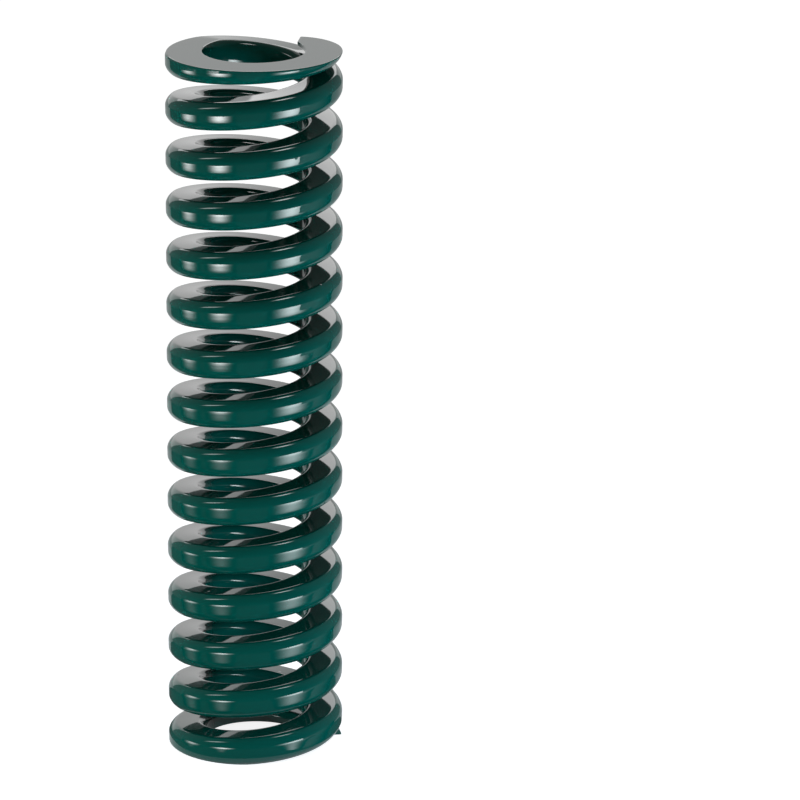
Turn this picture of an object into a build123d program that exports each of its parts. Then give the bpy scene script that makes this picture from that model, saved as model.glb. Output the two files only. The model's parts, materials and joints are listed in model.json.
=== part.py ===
from build123d import *
from math import cos, pi, radians, sin, sqrt
import os

# Die spring: one length of shaped wire wound into a right-hand coil, closed and ground at both
# ends. Units are millimetres. The coil's axis is +Z and its lower ground face lies on Z = 0, with
# the origin at the centre of that face. The wire's lower tip is on +X, and the wire climbs
# anticlockwise seen from above.

# ---- What the spring works with ----
hole_diameter = 32.0        # pocket in the die that the spring stands in
hole_clearance = 0.45       # between the coil and the wall of the pocket, on the radius
rod_diameter = 16.0         # guide rod that passes through the coil
rod_clearance = 1.0         # between the rod and the inside of the coil, on the radius

# ---- The coil ----
free_length = 127.0         # between the two ground faces, unloaded
total_turns = 15.104        # from the lower tip to the upper tip
closing_turns = 0.83        # wire at each end, in turns, over which the pitch falls away
closed_gap = 0.42           # left where an end coil closes on to its neighbour
lower_tip_height = 2.0      # wire left by the grinding at the lower tip
upper_tip_height = 1.6      # the same at the upper tip, before the cut-off thinned it

# ---- The wire's section ----
inner_height = 5.28         # along the coil's axis, at the inner edges of the two flats
outer_height = 5.05         # the same at their outer edges, less where the winding stretched it
outer_band = 1.7            # height of the flat band on the outside of the coil
shoulder_depth = 1.28       # reach from that band in to the outer edge of a flat
shoulder_crown = 0.22       # rise of the rounded shoulder above the straight line across it
inner_band = 3.08           # height of the flat band on the inside of the coil
corner_depth = 1.3          # reach from the inner band out to the inner edge of a flat
corner_crown = 0.23         # rise of the rounded inner corner above the straight line across it
section_lean = 1.1          # degrees that the wound wire leans, with its outer side lower

# ---- The cut-off end ----
nose_turns = 0.103          # wire at the upper tip, in turns, thinned where it was cut off
nose_share = 0.59           # of the full section, left at the very tip
nose_radius = 10.8          # from the coil's axis to the line that the nose thins towards
nose_slant = 38.0           # degrees that the cut is slanted, with its outer side ahead

# ---- How finely the coil is laid out ----
sections_per_turn = 32      # upright sections that the skin passes through
nose_sections = 4           # more of them along the thinned nose

# The leaning section reaches furthest out at its outer band's top edge and furthest in at its
# inner band's bottom edge, so its depth is what fits between the two clearances.
outer_radius = hole_diameter / 2 - hole_clearance
inner_radius = rod_diameter / 2 + rod_clearance
lean = radians(section_lean)
wire_depth = (outer_radius - inner_radius - (outer_band + inner_band) / 2 * sin(lean)) / cos(lean)
centre_radius = outer_radius - wire_depth / 2 * cos(lean) - outer_band / 2 * sin(lean)

# The wire's centre climbs one wire height and one closed gap in the turn at each end, and the
# turns between them share what is left of its climb from tip to tip.
end_climb = inner_height + closed_gap
lower_tip = lower_tip_height - inner_height / 2
upper_tip = free_length - upper_tip_height + inner_height / 2
pitch = (upper_tip - lower_tip - 2 * end_climb) / (total_turns - 2)

# Over the closing turns the pitch falls in a straight line to the value that makes the first
# turn from the tip climb by end_climb.
tip_pitch = 2 * (end_climb - (1 - closing_turns) * pitch) / closing_turns - pitch


def climb_from_tip(turns):
    """Height that the wire's centre gains in a number of turns from either tip."""
    closing = min(turns, closing_turns)
    gained = tip_pitch * closing + (pitch - tip_pitch) * closing**2 / (2 * closing_turns)
    return gained + pitch * (turns - closing)


def centre_height(turns):
    """Height of the wire's centre after a number of turns from the lower tip."""
    if turns < total_turns / 2:
        return lower_tip + climb_from_tip(turns)
    return upper_tip - climb_from_tip(total_turns - turns)


def wire_outline():
    """Outline of the leaning wire round its own centre, with X pointing away from the coil's axis.

    A flat band on the outside stands between two crowned shoulders, and a taller one on the
    inside between two lightly rounded corners. The flats above and below join them.
    """
    outer, inner = wire_depth / 2, -wire_depth / 2
    shoulder = (outer - shoulder_depth, outer_height / 2)
    corner = (inner + corner_depth, inner_height / 2)
    upper_half = [
        Line((outer, 0), (outer, outer_band / 2)),
        SagittaArc((outer, outer_band / 2), shoulder, -shoulder_crown),
        Line(shoulder, corner),
        SagittaArc(corner, (inner, inner_band / 2), -corner_crown),
        Line((inner, inner_band / 2), (inner, 0)),
    ]
    lower_half = [edge.mirror(Plane.XZ) for edge in reversed(upper_half)]
    return Wire(upper_half + lower_half).rotate(Axis.Z, -section_lean)


def upright_section(outline, turns):
    """The wire's outline standing in the plane through the coil's axis after some turns."""
    angle = 2 * pi * turns
    out = Vector(cos(angle), sin(angle))
    middle = out * centre_radius + Vector(0, 0, centre_height(turns))
    return Plane(origin=middle, x_dir=out, z_dir=out.cross(Vector(0, 0, 1))) * outline


def nose_section(outline, progress):
    """The section thinned and slanted by the cut, from 0 where the nose begins to 1 at the tip."""
    turns = total_turns - nose_turns * (1 - progress)
    share = sqrt(1 - (1 - nose_share**2) * progress**2)
    angle = 2 * pi * turns
    core = Vector(cos(angle), sin(angle)) * nose_radius + Vector(0, 0, free_length)
    section = upright_section(outline, turns).moved(Location(-core))
    return section.scale(share).rotate(Axis.Z, nose_slant * progress).moved(Location(core))


def wound_wire():
    """The coil as it comes off the winding arbor, with tips that still overhang the ends."""
    outline = wire_outline()
    plain_turns = total_turns - nose_turns
    steps = round(plain_turns * sections_per_turn)
    coil = [upright_section(outline, plain_turns * step / steps) for step in range(steps)]
    nose = [nose_section(outline, step / nose_sections) for step in range(nose_sections + 1)]
    return Solid.make_loft(coil + nose)


def ground_coil():
    """The finished spring: both ends ground flat and square to the axis."""
    coil = split(wound_wire(), bisect_by=Plane.XY, keep=Keep.TOP)
    return split(coil, bisect_by=Plane.XY.offset(free_length), keep=Keep.BOTTOM)


os.makedirs("parts", exist_ok=True)
spring = ground_coil()
print(f"pitch {pitch:.3f}, tip pitch {tip_pitch:.3f}, outer radius {outer_radius:.3f}, "
      f"inner radius {inner_radius:.3f}, volume {spring.volume:.1f}")
export_step(spring, "parts/coil.step")
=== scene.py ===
import json

import bmesh
import bpy
import numpy as np
from mathutils import Matrix, Vector


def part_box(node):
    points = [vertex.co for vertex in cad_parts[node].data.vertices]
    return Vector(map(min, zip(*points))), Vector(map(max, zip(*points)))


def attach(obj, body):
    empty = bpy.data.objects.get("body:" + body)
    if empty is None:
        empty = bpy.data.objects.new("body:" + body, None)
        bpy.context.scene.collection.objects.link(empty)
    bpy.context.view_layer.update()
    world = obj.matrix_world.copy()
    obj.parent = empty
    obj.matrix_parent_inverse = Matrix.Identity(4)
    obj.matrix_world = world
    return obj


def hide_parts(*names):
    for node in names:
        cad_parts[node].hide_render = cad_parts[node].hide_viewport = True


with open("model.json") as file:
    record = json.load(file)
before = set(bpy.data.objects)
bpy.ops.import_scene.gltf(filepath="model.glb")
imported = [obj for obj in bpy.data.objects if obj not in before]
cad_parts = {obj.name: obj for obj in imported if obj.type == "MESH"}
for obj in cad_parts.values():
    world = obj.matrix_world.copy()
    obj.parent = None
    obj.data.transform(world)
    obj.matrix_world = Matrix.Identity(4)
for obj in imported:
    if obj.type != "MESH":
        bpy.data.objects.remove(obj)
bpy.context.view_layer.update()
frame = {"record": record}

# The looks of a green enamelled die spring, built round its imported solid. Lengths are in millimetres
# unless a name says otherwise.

MM = 0.001

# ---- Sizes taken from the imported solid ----
mounts = {mount["name"]: mount for mount in frame["record"]["mounts"]}
low_corner, high_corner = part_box("coil")
outer_radius = mounts["pocket_fit"]["dims"]["r_mm"]
inner_radius = mounts["rod_passage"]["dims"]["r_mm"]
free_length = (high_corner.z - low_corner.z) / MM

# ---- The coil ----
total_turns = 15.104        # from the lower tip to the upper tip
closing_turns = 0.83        # wire at each end, in turns, over which the pitch falls away
closed_gap = 0.42           # left where an end coil closes on to its neighbour
lower_tip_height = 2.0      # wire left by the grinding at each tip
upper_tip_height = 1.6

# ---- The wire's section ----
inner_height = 5.28         # along the coil's axis, at the inner and the outer edge of the flats
outer_height = 5.05
outer_band = 1.7            # height of the flat band on the outside
shoulder_depth = 1.28       # radial reach of the shoulders beside the band, and the bow of their faces
shoulder_crown = 0.22
inner_band = 3.08           # the same on the inside
corner_depth = 1.3
corner_crown = 0.23
section_lean = np.radians(1.1)      # the outside sits a little lower

# ---- The upper tip's nose ----
nose_turns = 0.103          # length of wire that tapers to the cut
nose_share = 0.59           # part of the section left at the cut
nose_radius = 10.8          # distance from the axis of the line that it tapers to
nose_slant = np.radians(38.0)       # how far the cut turns away from the radial plane

# ---- The coat of paint ----
paint_crease = 0.15         # reach of the paint's rounding along each band edge
paint_edge = 0.17           # round the edges of the flats and of the ground faces
tip_edge = 0.2              # and round the two cut tips
cap_border = 0.4            # width of the flat ring inside a tip's rounding
flat_edge = 0.5             # the flats themselves fall away over this width beside an unground edge
wave_length = 4.0           # the slow unevenness of the gloss
wave_height = 0.004
dust_spacing = 5.0          # nibs of dust in the coat
nib_radius = 0.35
nib_height = 0.07
nib_share = 0.3             # part of the places for a nib that have one

# ---- How finely the surface is drawn ----
sections_per_turn = 90
nose_sections = 16
shoulder_points = 6         # on each shoulder of the section
corner_points = 5           # on each of its inner corners
band_points = 4             # on each of its two bands
rounding_points = 4         # on the paint's rounding at each edge of a flat
flat_shares = (0, 0.05, 0.28, 0.5, 0.72, 0.95, 1)     # where the points stand across a flat

wire_depth = (outer_radius - inner_radius
              - (outer_band + inner_band) / 2 * np.sin(section_lean)) / np.cos(section_lean)
centre_radius = (outer_radius - wire_depth / 2 * np.cos(section_lean)
                 - outer_band / 2 * np.sin(section_lean))


# ---------------------------------------------------------------- shape of the wire

def bowed(first, last, bulge, count=25):
    """Points on the circular arc from first to last that stands off its chord by the bulge.

    With half chord c and bulge b the radius is (c^2 + b^2) / 2b. A point at angle a lies radius sin a
    along the chord from its middle, and b - radius (1 - cos a) off it, to the right of the way for a
    bulge above zero.
    """
    first, last = np.array(first), np.array(last)
    half = np.hypot(*(last - first)) / 2
    radius = (half**2 + bulge**2) / (2 * abs(bulge))
    angle = np.linspace(-1, 1, count)[:, None] * np.arcsin(half / radius)
    along = (last - first) / (2 * half)
    off = np.sign(bulge) * np.array([along[1], -along[0]])
    along_chord = radius * np.sin(angle) * along
    off_chord = (abs(bulge) - radius * (1 - np.cos(angle))) * off
    return (first + last) / 2 + along_chord + off_chord


def wire_side(outward):
    """One side of the section, from the lower flat to the upper.

    It is given as rows (outward, up) from the wire's centre: an arc, the straight band and the mirrored
    arc, all turned about the centre by the section's lean.
    """
    half_depth = wire_depth / 2
    if outward:
        over = bowed((half_depth, outer_band / 2),
                     (half_depth - shoulder_depth, outer_height / 2), shoulder_crown)
    else:
        over = bowed((-half_depth, inner_band / 2),
                     (corner_depth - half_depth, inner_height / 2), -corner_crown)
    side = np.concatenate([over[::-1] * (1, -1), over])
    cos, sin = np.cos(section_lean), np.sin(section_lean)
    return side @ np.array([[cos, -sin], [sin, cos]])


def climb_from_tip(turns):
    """Height gained from a tip: the pitch rises evenly over the closing turns, then stays."""
    end_climb = inner_height + closed_gap
    rise = free_length - lower_tip_height - upper_tip_height + inner_height
    pitch = (rise - 2 * end_climb) / (total_turns - 2)
    tip_pitch = 2 * (end_climb - (1 - closing_turns) * pitch) / closing_turns - pitch
    closing = np.minimum(turns, closing_turns)
    gained = tip_pitch * closing + (pitch - tip_pitch) * closing**2 / (2 * closing_turns)
    return gained + pitch * (turns - closing)


def centre_height(turns):
    """Height of the wire's centre by turn: the climb from the lower tip, or down from the upper tip."""
    from_below = lower_tip_height - inner_height / 2 + climb_from_tip(turns)
    from_above = free_length - upper_tip_height + inner_height / 2 - climb_from_tip(total_turns - turns)
    return np.where(turns < total_turns / 2, from_below, from_above)


def cut_side(side, low, high, arc_points):
    """A side's points for every turn, kept between the two grinding planes, and its two end corners.

    The side is walked by its length. The points stand evenly on each arc and on the band, and close by
    on both sides of each band edge. Those past a plane stop short of its cut by the paint's rounding.
    """
    walked = np.concatenate([[0], np.cumsum(np.hypot(*np.diff(side, axis=0).T))])
    lower_edge, upper_edge = walked[len(side) // 2 - 1], walked[len(side) // 2]
    stops = np.concatenate([np.linspace(0, lower_edge - paint_crease, arc_points),
                            np.linspace(lower_edge + paint_crease, upper_edge - paint_crease,
                                        band_points),
                            np.linspace(upper_edge + paint_crease, walked[-1], arc_points)])
    start = np.interp(low, side[:, 1], walked)[:, None]
    end = np.interp(high, side[:, 1], walked)[:, None]
    kept = np.clip(stops[None, :], start + paint_edge, end - paint_edge)

    def place(distance):
        return np.stack([np.interp(distance, walked, side[:, axis]) for axis in (0, 1)], -1)

    return place(kept), place(start), place(end)


def across_flat(before, corner, reach, other_corner, other_reach, after, height_at):
    """Points over a flat: a rounded corner, a straight run and the other rounded corner.

    A rounded corner is the curve (1-c)^2 p + 2c(1-c) k + c^2 q from the side's last point p by the
    corner k to the point q on the flat, its reach away from k. The run's heights come from its
    distances outward.
    """
    share = np.array(flat_shares)
    inward = np.sign(other_corner[..., 0] - corner[..., 0])
    first_end, last_end = corner[..., 0] + inward * reach, other_corner[..., 0] - inward * other_reach
    outward = (1 - share) * first_end + share * last_end
    run = np.stack([outward, height_at(outward)], -1)
    curve = np.linspace(0, 1, rounding_points + 2)[None, 1:-1, None]
    first = (1 - curve)**2 * before + 2 * curve * (1 - curve) * corner + curve**2 * run[:, :1]
    second = (1 - curve)**2 * run[:, -1:] + 2 * curve * (1 - curve) * other_corner + curve**2 * after
    return np.concatenate([first, run, second], axis=1)


def ground_section(turns):
    """Rows of section points (outward, up) for an array of turns, anticlockwise, cut at both planes.

    The upper flat is the lower of the straight line between the section's corners and the upper plane.
    The lower flat is the higher of its line and the lower plane.
    """
    outside, inside = wire_side(True), wire_side(False)
    centre = centre_height(turns)
    low, high = -centre[:, None], free_length - centre[:, None]
    outer, outer_low, outer_high = cut_side(outside, low[:, 0], high[:, 0], shoulder_points)
    inner, inner_low, inner_high = cut_side(inside, low[:, 0], high[:, 0], corner_points)

    def line(outward, corner, other_corner):
        slope = (other_corner[1] - corner[1]) / (other_corner[0] - corner[0])
        return corner[1] + slope * (outward - corner[0])

    def reach(corner, plane):
        """The paint's rounding at a ground corner, and the flat's own at a corner off the plane."""
        return np.clip(paint_edge + np.abs(corner[..., 1] - plane), paint_edge, flat_edge)

    over = across_flat(outer[:, -1:], outer_high, reach(outer_high, high),
                       inner_high, reach(inner_high, high), inner[:, -1:],
                       lambda outward: np.minimum(line(outward, outside[-1], inside[-1]), high))
    under = across_flat(inner[:, :1], inner_low, reach(inner_low, low),
                        outer_low, reach(outer_low, low), outer[:, :1],
                        lambda outward: np.maximum(line(outward, outside[0], inside[0]), low))
    return np.concatenate([outer, over, inner[:, ::-1], under], axis=1), centre


def coil_surface():
    """Vertices and faces of the painted coil, in metres.

    The section at a turn stands at the angle 2 pi turn. Past the plain turns it shrinks towards the
    nose line by share = sqrt(1 - (1 - nose_share^2) p^2) with the progress p, and turns about it by
    the slant times p. At each tip the sections follow a quarter circle in from the rim, and a last
    ring inside it keeps the cut face flat.
    """
    plain_turns = total_turns - nose_turns
    bend = np.radians([90, 90, 60, 30])     # the ring inside the rim, the rim, and two steps back
    per_turn = 2 * np.pi * centre_radius
    advance = tip_edge * (1 - np.sin(bend)) / per_turn
    inset = tip_edge * (1 - np.cos(bend)) + np.array([cap_border, 0, 0, 0])
    rounding = tip_edge / per_turn
    plain = np.linspace(rounding, plain_turns, int(plain_turns * sections_per_turn))
    nose = np.linspace(plain_turns, total_turns - rounding, nose_sections)[1:]
    turns = np.concatenate([advance, plain, nose, total_turns - advance[::-1]])
    inset = np.concatenate([inset, np.zeros(len(plain) + len(nose)), inset[::-1]])[:, None, None]

    section, centre = ground_section(turns)
    lowest, highest = section.min(1, keepdims=True), section.max(1, keepdims=True)
    middle, reach = (lowest + highest) / 2, (highest - lowest) / 2
    section = middle + (section - middle) * (1 - inset / reach)

    progress = np.clip((turns - plain_turns) / nose_turns, 0, 1)[:, None]
    share = np.sqrt(1 - (1 - nose_share**2) * progress**2)
    angle = 2 * np.pi * turns[:, None]
    facing = angle + nose_slant * progress
    outward = share * (section[..., 0] + centre_radius - nose_radius)
    height = free_length + share * (section[..., 1] + centre[:, None] - free_length)
    grid = np.stack([nose_radius * np.cos(angle) + outward * np.cos(facing),
                     nose_radius * np.sin(angle) + outward * np.sin(facing), height], -1) * MM

    rings, around = grid.shape[:2]
    index = np.arange(rings * around).reshape(rings, around)
    here, ahead = index[:-1], index[1:]
    quads = np.stack([here, np.roll(here, -1, 1), np.roll(ahead, -1, 1), ahead], -1).reshape(-1, 4)
    return grid.reshape(-1, 3), quads.tolist() + [index[0][::-1].tolist(), index[-1].tolist()]


def solid_object(name, vertices, faces, material):
    """A smooth closed mesh object at the origin, with double points merged and normals outwards."""
    mesh = bpy.data.meshes.new(name)
    mesh.from_pydata(vertices.tolist(), [], faces)
    work = bmesh.new()
    work.from_mesh(mesh)
    bmesh.ops.remove_doubles(work, verts=work.verts, dist=1e-6)
    bmesh.ops.dissolve_degenerate(work, edges=work.edges, dist=1e-7)
    bmesh.ops.recalc_face_normals(work, faces=work.faces)
    work.to_mesh(mesh)
    work.free()
    mesh.polygons.foreach_set("use_smooth", np.ones(len(mesh.polygons), bool))
    mesh.materials.append(material)
    thing = bpy.data.objects.new(name, mesh)
    bpy.context.collection.objects.link(thing)
    return thing


# ---------------------------------------------------------------- materials

def linear(hex_colour):
    """An sRGB hex colour as linear RGBA."""
    values = [int(hex_colour[i:i + 2], 16) / 255 for i in (1, 3, 5)]
    return [v / 12.92 if v <= 0.04045 else ((v + 0.055) / 1.055) ** 2.4 for v in values] + [1.0]


def add_node(tree, kind, settings=None, inputs=None, links=None):
    """A node with its settings, its input values and its links {input: (node, output)}."""
    node = tree.nodes.new(kind)
    for key, value in (settings or {}).items():
        setattr(node, key, value)
    for key, value in (inputs or {}).items():
        node.inputs[key].default_value = value
    for key, (source, output) in (links or {}).items():
        tree.links.new(source.outputs[output], node.inputs[key])
    return node


def empty_tree(owner):
    """The cleared node tree of a new material or world."""
    owner.use_nodes = True
    owner.node_tree.nodes.clear()
    return owner.node_tree


def gloss_enamel():
    """Stoving enamel over spring steel: sprayed and baked, so it is deep green, smooth and wet-looking.

    The sprayed coat flows before it sets, which leaves a slight long wave in the gloss. A little dust
    settles in the wet coat and stands up as a nib here and there.
    """
    material = bpy.data.materials.new("stoved_gloss_enamel")
    tree = empty_tree(material)
    place = add_node(tree, "ShaderNodeTexCoord")
    wave = add_node(tree, "ShaderNodeTexNoise", {"noise_dimensions": "3D"},
                    {"Scale": 1 / (wave_length * MM), "Detail": 1.0, "Roughness": 0.4},
                    {"Vector": (place, "Object")})
    dust = add_node(tree, "ShaderNodeTexVoronoi", inputs={"Scale": 1 / (dust_spacing * MM)},
                    links={"Vector": (place, "Object")})
    speck = add_node(tree, "ShaderNodeMapRange", {"interpolation_type": "SMOOTHSTEP"},
                     {"From Min": 0.0, "From Max": nib_radius / dust_spacing,
                      "To Min": nib_height, "To Max": 0.0},
                     {"Value": (dust, "Distance")})
    pick = add_node(tree, "ShaderNodeSeparateColor", links={0: (dust, "Color")})
    few = add_node(tree, "ShaderNodeMath", {"operation": "LESS_THAN"}, {1: nib_share},
                   {0: (pick, "Red")})
    nib = add_node(tree, "ShaderNodeMath", {"operation": "MULTIPLY"},
                   links={0: (speck, "Result"), 1: (few, "Value")})
    height = add_node(tree, "ShaderNodeMath", {"operation": "MULTIPLY_ADD"}, {1: wave_height},
                      {0: (wave, "Fac"), 2: (nib, "Value")})
    bump = add_node(tree, "ShaderNodeBump", inputs={"Strength": 1.0, "Distance": MM},
                    links={"Height": (height, "Value")})
    paint = add_node(tree, "ShaderNodeBsdfPrincipled",
                     inputs={"Base Color": linear("#013F35"), "Roughness": 0.05, "IOR": 1.5},
                     links={"Normal": (bump, "Normal")})
    add_node(tree, "ShaderNodeOutputMaterial", links={"Surface": (paint, "BSDF")})
    return material


vertices, faces = coil_surface()
coil = solid_object("painted_coil", vertices, faces, gloss_enamel())
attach(coil, "root")
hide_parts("coil")


# ---------------------------------------------------------------- studio

# The coil stands on white paper. Its gloss sees a black table and a black tent that opens at the rear,
# low lamps on the table, strip lamps above it and a lit cloth behind. Only the gloss sees these cards,
# and soft side lights that the gloss doesn't see light the body of the paint.
camera_turn = np.radians(-6.55)         # the camera's side, counted from straight in front
camera_side = camera_turn - np.pi / 2   # the same as an angle about the axis

world_level = 0.3           # light from all round
paper_fill = 0.3            # glow that the white paper shows in gloss and glass
camera_fill = 0.56          # and what the camera sees on top of it
floor_reach = 4000.0
card_height = 0.3           # the table and the foot of the tent are this far above the floor

table_start = 17.0          # the table starts this far from the axis
tent_radius = 700.0
roof_start = 62.0           # elevation, in degrees, from which the tent closes all round
lit_radius = 690.0
lit_from, lit_to = 28.5, 48.0       # elevations of the lit cloth, in degrees
shade_front = 300.0         # a cloth's light changes between these distances towards the camera
shade_rear = -400.0

lamp_distance = 245.0       # the low lamps and side lights stand this far from the coil
lamp_height = 56.0
lamp_reach = 300.0          # way along the table and up the lamp at which its light is whole
glow_start = 4.0            # the lamps' glow on the table starts this far from the coil
glow_steep = 0.3            # the table's facing value for none of that glow, and for all of it
glow_shallow = 0.65
strip_distance = 600.0
strip_core = 0.2            # share of a strip lamp that is fully bright
side_light_width = 160.0
side_light_height = 60.0


def background_rays(tree):
    """One for the rays that show the white background: those of the camera, of gloss and of glass."""
    path = add_node(tree, "ShaderNodeLightPath")
    either = add_node(tree, "ShaderNodeMath", {"operation": "MAXIMUM"},
                      links={0: (path, "Is Camera Ray"), 1: (path, "Is Glossy Ray")})
    return add_node(tree, "ShaderNodeMath", {"operation": "MAXIMUM"},
                    links={0: (either, "Value"), 1: (path, "Is Transmission Ray")})


def white_paper():
    """Plain pale paper: as background it is filled up to white, and it keeps the shadow."""
    material = bpy.data.materials.new("white_paper")
    tree = empty_tree(material)
    path = add_node(tree, "ShaderNodeLightPath")
    shared = add_node(tree, "ShaderNodeMath", {"operation": "MULTIPLY"}, {1: paper_fill},
                      {0: (background_rays(tree), "Value")})
    fill = add_node(tree, "ShaderNodeMath", {"operation": "MULTIPLY_ADD"}, {1: camera_fill},
                    {0: (path, "Is Camera Ray"), 2: (shared, "Value")})
    paper = add_node(tree, "ShaderNodeBsdfDiffuse", inputs={"Color": linear("#D2D2D2")})
    glow = add_node(tree, "ShaderNodeEmission", inputs={"Color": (1, 1, 1, 1)},
                    links={"Strength": (fill, "Value")})
    both = add_node(tree, "ShaderNodeAddShader", links={0: (paper, "BSDF"), 1: (glow, "Emission")})
    add_node(tree, "ShaderNodeOutputMaterial", links={"Surface": (both, "Shader")})
    return material


def cloth(name, front, rear):
    """Cloth of the tent or the table: lit cloth glows, and black cloth gives off a trace of light.

    The light runs in a straight line from rear to front with the distance towards the camera's side.
    """
    material = bpy.data.materials.new(name)
    tree = empty_tree(material)
    place = add_node(tree, "ShaderNodeTexCoord")
    ahead = add_node(tree, "ShaderNodeVectorMath", {"operation": "DOT_PRODUCT"},
                     {1: (np.cos(camera_side), np.sin(camera_side), 0)}, {0: (place, "Object")})
    light = add_node(tree, "ShaderNodeMapRange",
                     inputs={"From Min": shade_rear * MM, "From Max": shade_front * MM,
                             "To Min": rear, "To Max": front},
                     links={"Value": (ahead, "Value")})
    glow = add_node(tree, "ShaderNodeEmission", inputs={"Color": (1, 1, 1, 1)},
                    links={"Strength": (light, "Result")})
    add_node(tree, "ShaderNodeOutputMaterial", links={"Surface": (glow, "Emission")})
    return material


def stage_card(name, rows, material, gloss_only=True):
    """A stage surface from a grid of points in metres. With gloss_only nothing but the gloss sees it."""
    rows = np.asarray(rows, float)
    count, across = rows.shape[:2]
    index = np.arange(count * across).reshape(count, across)
    quads = np.stack([index[:-1, :-1], index[:-1, 1:], index[1:, 1:], index[1:, :-1]], -1).reshape(-1, 4)
    mesh = bpy.data.meshes.new(name)
    mesh.from_pydata(rows.reshape(-1, 3).tolist(), [], quads.tolist())
    mesh.materials.append(material)
    card = bpy.data.objects.new(name, mesh)
    bpy.context.collection.objects.link(card)
    if gloss_only:
        card.visible_camera = False
        card.visible_diffuse = False
        card.visible_shadow = False
        card.visible_transmission = False
    return card


def dome(first, last, radius=tent_radius, count=20):
    """Rows (radius, height) on a circle about the coil's foot, between two elevations in degrees."""
    rise = np.radians(np.linspace(first, last, count))
    return np.stack([radius * np.cos(rise), card_height + radius * np.sin(rise)], -1)


def swept_card(name, profile, material, first, last, count=49):
    """A profile of rows (radius, height) swept about the axis, from one azimuth to another.

    The azimuths are in degrees and start at the camera's side.
    """
    profile = np.array(profile, float) * MM
    angle = camera_side + np.radians(np.linspace(first, last, count))
    rows = np.stack([profile[:, :1] * np.cos(angle), profile[:, :1] * np.sin(angle),
                     np.repeat(profile[:, 1:], len(angle), 1)], -1)
    stage_card(name, rows, material)


def lamp_glow(name, colour, peak, core, edge, foot, falloff, on_table):
    """Light of a low lamp that stands on a glossy table, or of the glow that the table gives back.

    The strength is the peak times the square of a smooth step times foot + (1 - foot) w^falloff. The
    step falls from one to nought between the core and the edge, two angles in degrees to either side
    of straight ahead. The way w is forwards + upwards over the lamp's reach, and one at most. The
    table's glow dies away where the table is looked into steeply.
    """
    material = bpy.data.materials.new(name)
    tree = empty_tree(material)
    place = add_node(tree, "ShaderNodeTexCoord")
    split = add_node(tree, "ShaderNodeSeparateXYZ", links={0: (place, "Object")})
    slope = add_node(tree, "ShaderNodeMath", {"operation": "DIVIDE"},
                     links={0: (split, "X"), 1: (split, "Y")})
    aside = add_node(tree, "ShaderNodeMath", {"operation": "ABSOLUTE"}, links={0: (slope, "Value")})
    across = add_node(tree, "ShaderNodeMapRange", {"interpolation_type": "SMOOTHSTEP"},
                      {"From Min": np.tan(np.radians(core)), "From Max": np.tan(np.radians(edge)),
                       "To Min": 1.0, "To Max": 0.0},
                      {"Value": (aside, "Value")})
    bell = add_node(tree, "ShaderNodeMath", {"operation": "POWER"}, {1: 2.0}, {0: (across, "Result")})
    walked = add_node(tree, "ShaderNodeMath", {"operation": "ADD"},
                      links={0: (split, "Y"), 1: (split, "Z")})
    share = add_node(tree, "ShaderNodeMath", {"operation": "DIVIDE", "use_clamp": True},
                     {1: lamp_reach * MM}, {0: (walked, "Value")})
    ramp = add_node(tree, "ShaderNodeMath", {"operation": "POWER"}, {1: falloff}, {0: (share, "Value")})
    lifted = add_node(tree, "ShaderNodeMath", {"operation": "MULTIPLY_ADD"},
                      {1: peak * (1 - foot), 2: peak * foot}, {0: (ramp, "Value")})
    strength = add_node(tree, "ShaderNodeMath", {"operation": "MULTIPLY"},
                        links={0: (bell, "Value"), 1: (lifted, "Value")})
    if on_table:
        gloss = add_node(tree, "ShaderNodeLayerWeight")
        shallow = add_node(tree, "ShaderNodeMapRange", {"interpolation_type": "SMOOTHSTEP"},
                           {"From Min": glow_steep, "From Max": glow_shallow},
                           {"Value": (gloss, "Facing")})
        strength = add_node(tree, "ShaderNodeMath", {"operation": "MULTIPLY"},
                            links={0: (strength, "Value"), 1: (shallow, "Result")})
    glow = add_node(tree, "ShaderNodeEmission", inputs={"Color": (*colour, 1)},
                    links={"Strength": (strength, "Value")})
    add_node(tree, "ShaderNodeOutputMaterial", links={"Surface": (glow, "Emission")})
    return material


def low_lamp(name, azimuth, peak, core, edge, foot, falloff, colour=(1, 1, 1), lift=1.0):
    """A low upright lamp and its glow on the table, a card each.

    From their azimuth they face the spot on the coil's side that mirrors them to the camera, which is
    half as far round.
    """
    spread = np.tan(np.radians(edge))
    spot = camera_side + np.radians(azimuth / 2)
    for on_table, ways, heights in ((True, (glow_start, lamp_distance), (lift, lift)),
                                    (False, (lamp_distance, lamp_distance), (lift, lamp_height))):
        part = name + ("_on_table" if on_table else "")
        rows = [[(side * way * spread * MM, way * MM, height * MM) for side in (-1, 1)]
                for way, height in zip(ways, heights)]
        card = stage_card(part, rows, lamp_glow(part, colour, peak, core, edge, foot, falloff, on_table))
        card.location = Vector((np.cos(spot), np.sin(spot), 0)) * outer_radius * MM
        card.rotation_euler = (0, 0, camera_side + np.radians(azimuth) - np.pi / 2)


def direction(azimuth, elevation):
    """Unit vector towards an azimuth from the camera's side and an elevation, in degrees."""
    angle, rise = camera_side + np.radians(azimuth), np.radians(elevation)
    return Vector((np.cos(angle) * np.cos(rise), np.sin(angle) * np.cos(rise), np.sin(rise)))


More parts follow.
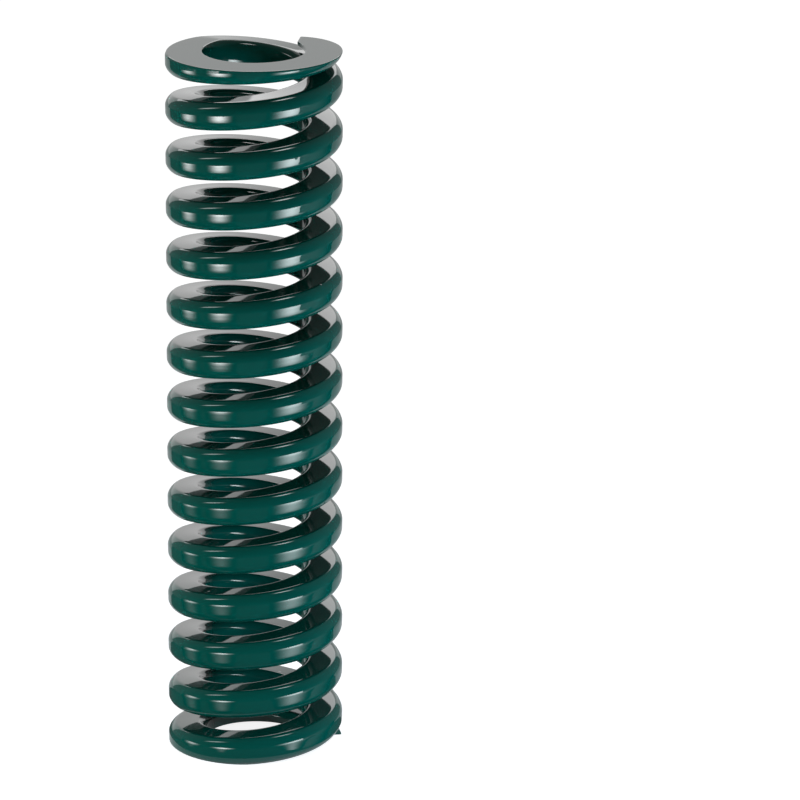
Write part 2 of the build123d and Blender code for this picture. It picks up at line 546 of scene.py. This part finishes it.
def strip_glow(name, peak, half_length, half_width):
    """Light of a strip lamp: the peak times a smooth step from an ellipse's core out to its rim."""
    material = bpy.data.materials.new(name)
    tree = empty_tree(material)
    place = add_node(tree, "ShaderNodeTexCoord")
    shaped = add_node(tree, "ShaderNodeVectorMath", {"operation": "MULTIPLY"},
                      {1: (1 / (half_length * MM), 1 / (half_width * MM), 0)}, {0: (place, "Object")})
    far = add_node(tree, "ShaderNodeVectorMath", {"operation": "LENGTH"}, links={0: (shaped, "Vector")})
    strength = add_node(tree, "ShaderNodeMapRange", {"interpolation_type": "SMOOTHSTEP"},
                        {"From Min": strip_core, "From Max": 1.0, "To Min": peak, "To Max": 0.0},
                        {"Value": (far, "Value")})
    glow = add_node(tree, "ShaderNodeEmission", inputs={"Color": (1, 1, 1, 1)},
                    links={"Strength": (strength, "Result")})
    add_node(tree, "ShaderNodeOutputMaterial", links={"Surface": (glow, "Emission")})
    return material


def strip_lamp(name, first, last, half_width, peak):
    """A slim lamp that faces the coil's middle and reaches from one (azimuth, elevation) to another."""
    start, end = direction(*first), direction(*last)
    towards, along = (start + end).normalized(), (end - start).normalized()
    half_length = (end - start).length / 2 * strip_distance
    corners = [[(x * half_length * MM, y * half_width * MM, 0) for x in (-1, 1)] for y in (-1, 1)]
    card = stage_card(name, corners, strip_glow(name, peak, half_length, half_width))
    middle = (towards * strip_distance + Vector((0, 0, free_length / 2))) * MM
    turn = Matrix((along, towards.cross(along), towards)).transposed().to_4x4()
    card.matrix_world = Matrix.Translation(middle) @ turn


def side_light(name, azimuth, level, colour):
    """A low soft lamp that lights the paint's body and doesn't show in its gloss.

    Its power is level (pi distance)^2, so that at level one it lights a face that is turned to it as
    much as a world of strength one does.
    """
    lamp = bpy.data.lights.new(name, "AREA")
    lamp.shape = "RECTANGLE"
    lamp.size, lamp.size_y = side_light_width * MM, side_light_height * MM
    lamp.energy = level * (np.pi * lamp_distance * MM) ** 2
    lamp.color = colour
    thing = bpy.data.objects.new(name, lamp)
    way = direction(azimuth, 0)
    thing.location = (way * lamp_distance + Vector((0, 0, side_light_height / 2))) * MM
    thing.rotation_euler = way.to_track_quat("Z", "Y").to_euler()
    thing.visible_camera = False
    thing.visible_glossy = False
    bpy.context.collection.objects.link(thing)


reach = floor_reach * MM
stage_card("floor", [[(-reach, y, 0), (reach, y, 0)] for y in (-reach, reach)], white_paper(),
           gloss_only=False)

table = [(table_start, card_height), (tent_radius, card_height)]
table_cloth = cloth("black_table_cloth", front=0.1, rear=0.05)
black_cloth = cloth("black_tent_cloth", front=0.03, rear=0.2)
lit_cloth = cloth("lit_rear_cloth", front=2.8, rear=2.8)
swept_card("dark_table", table, table_cloth, first=-139, last=116)
swept_card("dark_wall", dome(0, roof_start), black_cloth, first=-145, last=150)
swept_card("dark_roof", dome(roof_start, 90), black_cloth, first=-180, last=180)
swept_card("lit_rear", dome(lit_from, lit_to, lit_radius), lit_cloth, first=150, last=215)

low_lamp("left_lamp", azimuth=-46, peak=24.0, core=0, edge=23, foot=0.06, falloff=7)
low_lamp("far_left_lamp", azimuth=-95, peak=11.0, core=0, edge=20, foot=0.06, falloff=7)
low_lamp("right_lamp", azimuth=50, peak=16.0, core=0, edge=34, foot=0.25, falloff=2,
         colour=(0.9, 0.98, 1.0))
low_lamp("right_haze", azimuth=72, peak=0.5, core=5, edge=50, foot=1, falloff=1,
         colour=(0.85, 0.97, 1.0), lift=0.6)
strip_lamp("high_left_lamp", first=(-92, 29), last=(-60, 54), half_width=45, peak=7.0)
strip_lamp("high_right_lamp", first=(20, 77), last=(84, 63), half_width=42, peak=13.0)
side_light("left_side_light", azimuth=-68, level=1.25, colour=(0.82, 0.88, 1.0))
side_light("right_side_light", azimuth=58, level=1.55, colour=(0.66, 0.78, 1.0))

world = bpy.data.worlds.new("studio")
bpy.context.scene.world = world
tree = empty_tree(world)
around = add_node(tree, "ShaderNodeBackground", inputs={"Color": (1, 1, 1, 1), "Strength": world_level})
seen = add_node(tree, "ShaderNodeBackground", inputs={"Color": (1, 1, 1, 1), "Strength": 1.0})
mixed = add_node(tree, "ShaderNodeMixShader",
                 links={0: (background_rays(tree), "Value"),
                        1: (around, "Background"), 2: (seen, "Background")})
add_node(tree, "ShaderNodeOutputWorld", links={"Surface": (mixed, "Shader")})

# ---- Camera ----
camera_distance = 1207.9    # from the coil's middle
camera_elevation = np.radians(16.66)
camera_roll = np.radians(-0.15)
camera_data = bpy.data.cameras.new("camera")
camera_data.sensor_width = 36.0
camera_data.lens = 307.28               # a long lens, shifted to set the coil left of the middle
camera_data.shift_x = 0.1816
camera_data.shift_y = -0.0006
camera_data.clip_end = 50
camera = bpy.data.objects.new("camera", camera_data)
bpy.context.collection.objects.link(camera)
camera.location = Vector((np.cos(camera_side) * np.cos(camera_elevation) * camera_distance,
                          np.sin(camera_side) * np.cos(camera_elevation) * camera_distance,
                          free_length / 2 + np.sin(camera_elevation) * camera_distance)) * MM
camera.rotation_euler = (Matrix.Rotation(camera_turn, 3, "Z")
                         @ Matrix.Rotation(np.pi / 2 - camera_elevation, 3, "X")
                         @ Matrix.Rotation(camera_roll, 3, "Z")).to_euler()
bpy.context.scene.camera = camera
bpy.context.scene.view_settings.view_transform = "Standard"
